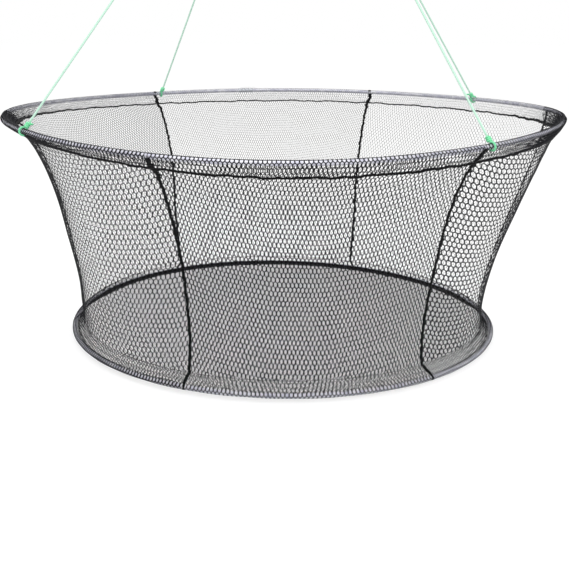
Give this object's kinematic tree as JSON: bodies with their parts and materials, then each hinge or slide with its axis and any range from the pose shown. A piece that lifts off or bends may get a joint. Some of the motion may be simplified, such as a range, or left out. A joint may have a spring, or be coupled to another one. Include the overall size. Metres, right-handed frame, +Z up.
{
  "type": "crab hoop net",
  "caption": "Collapsible crab hoop net: a large and a small wire hoop joined by a panelled black net wall, a net floor, and a green cord bridle gathered under a lifting eye.",
  "frame": {"origin": "the inner crown of the lifting eye, where a hook bears", "axes": "+Z up along the hanging net's axis; +X to the right and +Y away from the viewer in the picture"},
  "size_m": [0.8084, 0.8084, 0.8643],
  "materials": {
    "netting": "knotless black knitted net",
    "overlock": "black overlocked edge",
    "wire": "lavender-grey coated spring wire",
    "ferrule": "crimped steel tube",
    "cord": "bright green braided cord"
  },
  "bodies": {
    "lift_point": {"lift_eye": "cord", "gather_knot": "cord"},
    "top_hoop": {"top_hoop_wire": "wire", "top_hoop_ferrule": "ferrule", "top_hem_1": "netting", "top_hem_2": "netting", "top_hem_3": "netting", "top_hem_4": "netting", "top_hem_5": "netting", "top_hem_6": "netting", "bridle_hitch_1": "cord", "bridle_hitch_2": "cord", "bridle_hitch_3": "cord", "bridle_hitch_4": "cord", "bridle_line_1": "cord", "bridle_line_2": "cord", "bridle_line_3": "cord", "bridle_line_4": "cord"},
    "bottom_hoop": {"bottom_hoop_wire": "wire", "bottom_hoop_ferrule": "ferrule", "bottom_hem_1": "netting", "bottom_hem_2": "netting", "bottom_hem_3": "netting", "bottom_hem_4": "netting", "bottom_hem_5": "netting", "bottom_hem_6": "netting", "floor_net": "netting", "wall_panel_1": "netting", "wall_panel_2": "netting", "wall_panel_3": "netting", "wall_panel_4": "netting", "wall_panel_5": "netting", "wall_panel_6": "netting", "wall_seam_1": "overlock", "wall_seam_2": "overlock", "wall_seam_3": "overlock", "wall_seam_4": "overlock", "wall_seam_5": "overlock", "wall_seam_6": "overlock"}
  },
  "joints": [
    {"name": "bridle_slack", "type": "slide", "parent": "lift_point", "child": "top_hoop", "axis": [0, 0, 1], "range_m": [0, 0.44], "deforming": ["bridle_line_1", "bridle_line_2", "bridle_line_3", "bridle_line_4"]},
    {"name": "net_collapse", "type": "slide", "parent": "top_hoop", "child": "bottom_hoop", "axis": [0, 0, 1], "range_m": [0, 0.278], "deforming": ["wall_panel_1", "wall_panel_2", "wall_panel_3", "wall_panel_4", "wall_panel_5", "wall_panel_6", "wall_seam_1", "wall_seam_2", "wall_seam_3", "wall_seam_4", "wall_seam_5", "wall_seam_6"]}
  ]
}
